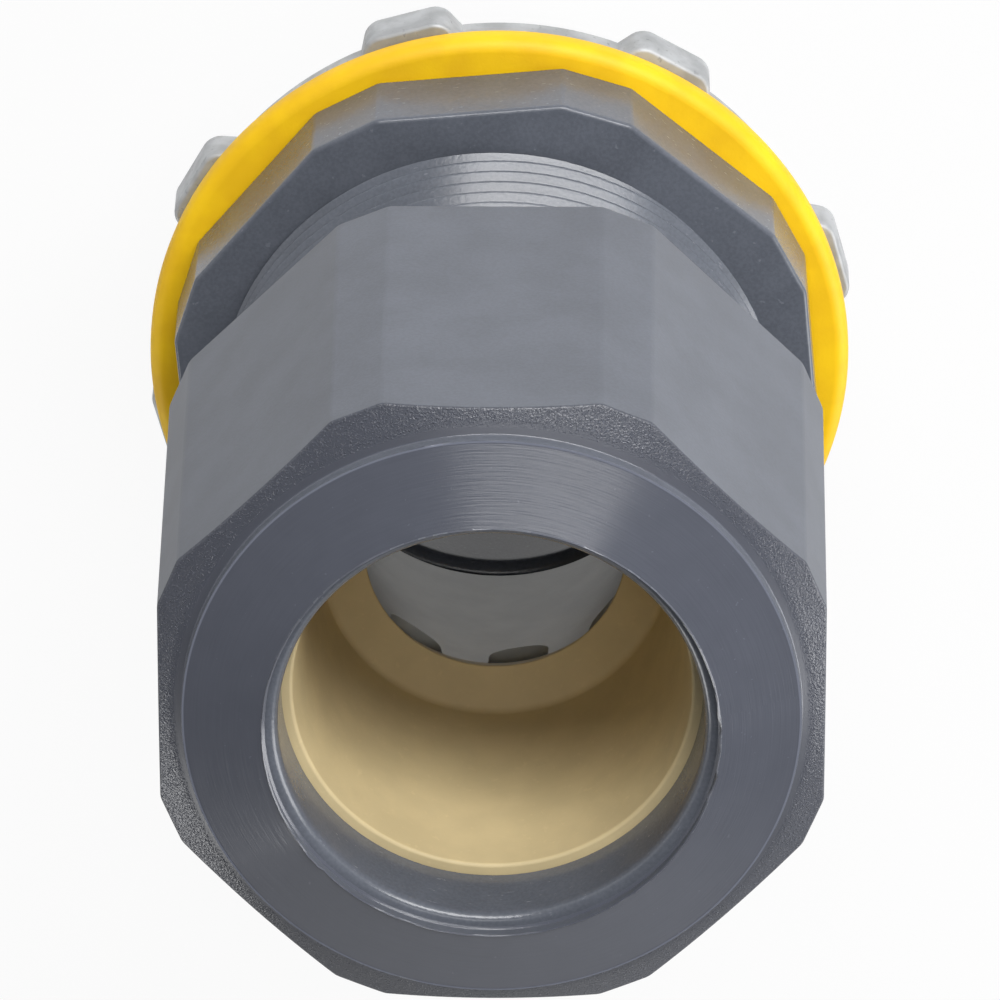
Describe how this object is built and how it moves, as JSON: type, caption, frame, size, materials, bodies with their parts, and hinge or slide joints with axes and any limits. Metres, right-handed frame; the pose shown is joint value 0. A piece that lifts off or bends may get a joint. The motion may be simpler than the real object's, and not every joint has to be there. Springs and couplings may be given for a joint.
{
  "type": "strain relief cord connector",
  "caption": "Strain relief cord connector: threaded nylon body with an octagonal flange and gland nut, rubber gland, grip ring, sealing ring and lugged locknut.",
  "frame": {"origin": "on the axis, in the plane of the flange's sealing face, where the panel sits", "axes": "+Z along the passage from the hub out through the gland nut; X and Y square to two pairs of the flange's wrench flats"},
  "size_m": [0.0446, 0.0446, 0.068],
  "materials": {
    "grey_nylon_body": "moulded, smooth satin",
    "grey_nylon_nut": "moulded, satin flats, grained cone, glossy ring face",
    "cream_rubber": "smooth, matt",
    "pale_nylon": "smooth",
    "yellow_plastic": "smooth, slightly glossy",
    "zinc": "cast zinc, satin"
  },
  "bodies": {
    "body": {"connector_body": "grey_nylon_body"},
    "gland": {"sealing_gland": "cream_rubber", "grip_ring": "pale_nylon"},
    "nut": {"gland_nut": "grey_nylon_nut"},
    "seal": {"sealing_ring": "yellow_plastic"},
    "locknut": {"locknut": "zinc"}
  },
  "joints": [
    {"name": "gland_travel", "type": "slide", "parent": "body", "child": "gland", "axis": [0, 0, 1], "range_m": [-0.00151, 0.01501]},
    {"name": "gland_nut_turn", "type": "hinge", "parent": "gland", "child": "nut", "pos_m": [0, 0, 0.0199], "axis": [0, 0, 1], "range_deg": [-360, 3600]},
    {"name": "seal_travel", "type": "slide", "parent": "body", "child": "seal", "axis": [0, 0, -1], "range_m": [-0.00001, 0.01106]},
    {"name": "locknut_turn", "type": "hinge", "parent": "seal", "child": "locknut", "pos_m": [0, 0, -0.0023], "axis": [0, 0, -1], "range_deg": [0, 1800]}
  ],
  "couplings": [
    {"joint": "gland_travel", "follows": "gland_nut_turn", "m_per_rad": 0.00023873},
    {"joint": "seal_travel", "follows": "locknut_turn", "m_per_rad": 0.00035157}
  ]
}
